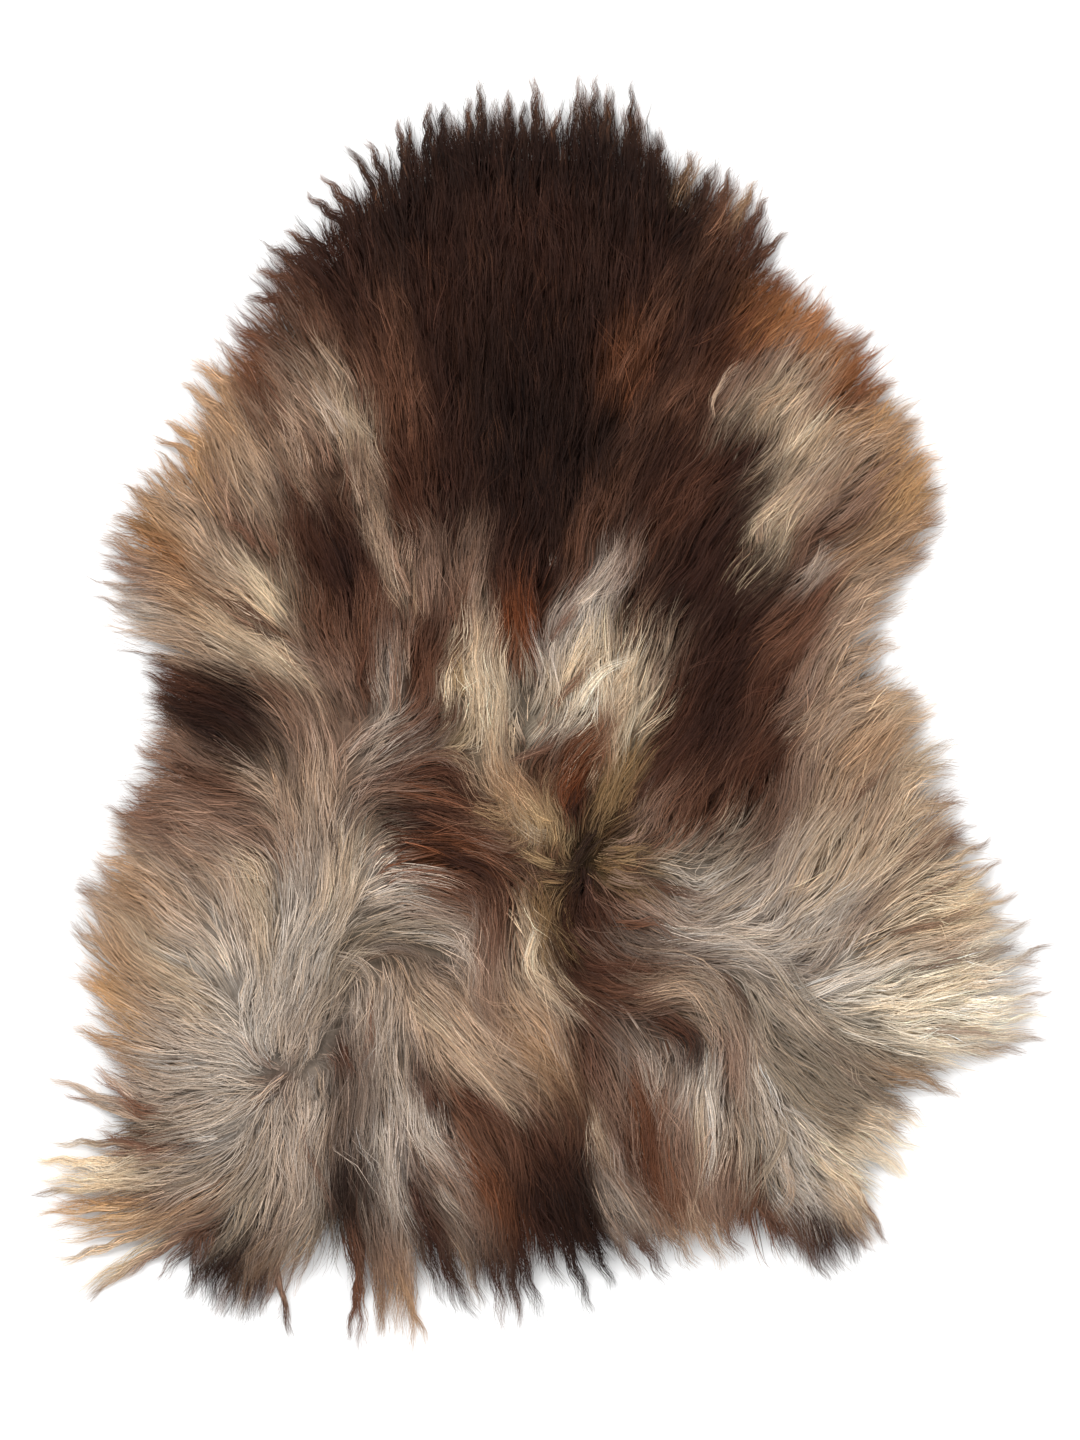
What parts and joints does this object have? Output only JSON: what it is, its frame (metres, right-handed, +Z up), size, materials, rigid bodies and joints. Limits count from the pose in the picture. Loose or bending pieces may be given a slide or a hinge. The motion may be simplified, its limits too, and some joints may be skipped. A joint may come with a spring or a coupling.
{
  "type": "icelandic sheepskin",
  "caption": "Long-haired sheepskin lying flat, wool side up: a low domed fleece with rolls and partings, and long locks lying out over the floor all round.",
  "frame": {"origin": "on the floor, in the middle of the length and width of the skin with its locks", "axes": "+Z up through the wool, +Y towards the neck, +X towards the right flank as seen from above"},
  "size_m": [0.865, 1.1, 0.0601],
  "materials": {
    "wool": "long undyed wool, dark brown at the neck and down the back, grey and taupe over the flanks and rump, with cream and ginger tips",
    "skin": "tanned skin side with a matt suede nap, pale cream"
  },
  "bodies": {
    "root": {"sheepskin": "wool"}
  },
  "joints": []
}
